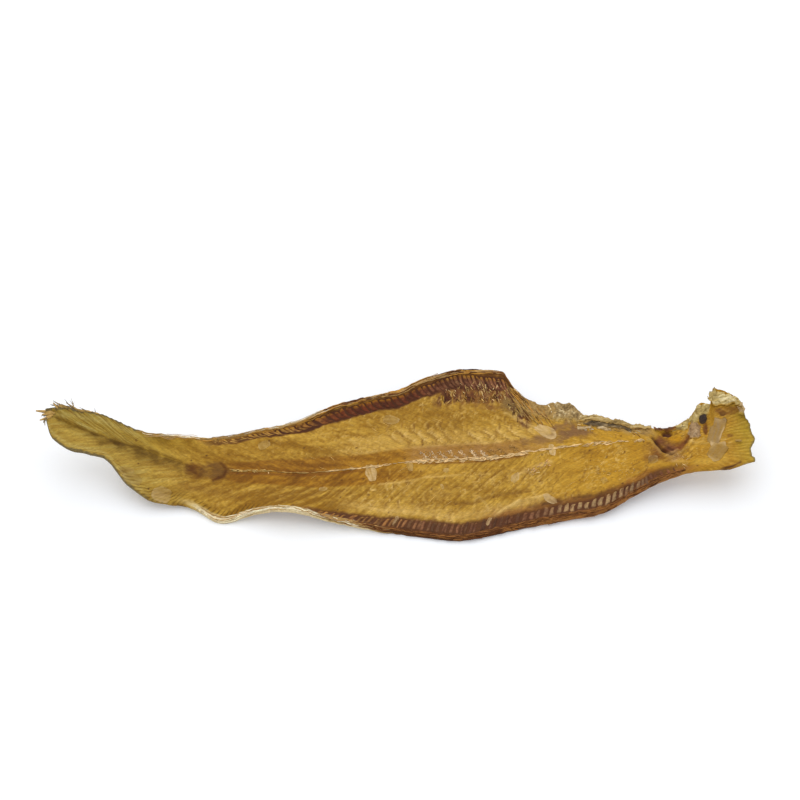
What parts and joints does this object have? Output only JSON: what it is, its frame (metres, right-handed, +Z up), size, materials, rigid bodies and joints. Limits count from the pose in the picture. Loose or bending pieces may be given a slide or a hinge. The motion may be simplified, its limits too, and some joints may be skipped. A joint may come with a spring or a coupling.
{
  "type": "dried sole fillet",
  "caption": "Thin dried flatfish fillet, bowed along its length, with a frayed tail, a flared head end and combed edges.",
  "frame": {"origin": "bottom centre of the bounding box, on the surface that the fillet lies on", "axes": "+X from the tail to the head end, +Y from the front edge to the back edge, +Z up out of the shown side"},
  "size_m": [0.2358, 0.064, 0.025],
  "materials": {
    "dried_flesh": "dried fish flesh, golden with brown edges, leathery and slightly glossy"
  },
  "bodies": {
    "root": {"fillet": "dried_flesh"}
  },
  "joints": []
}
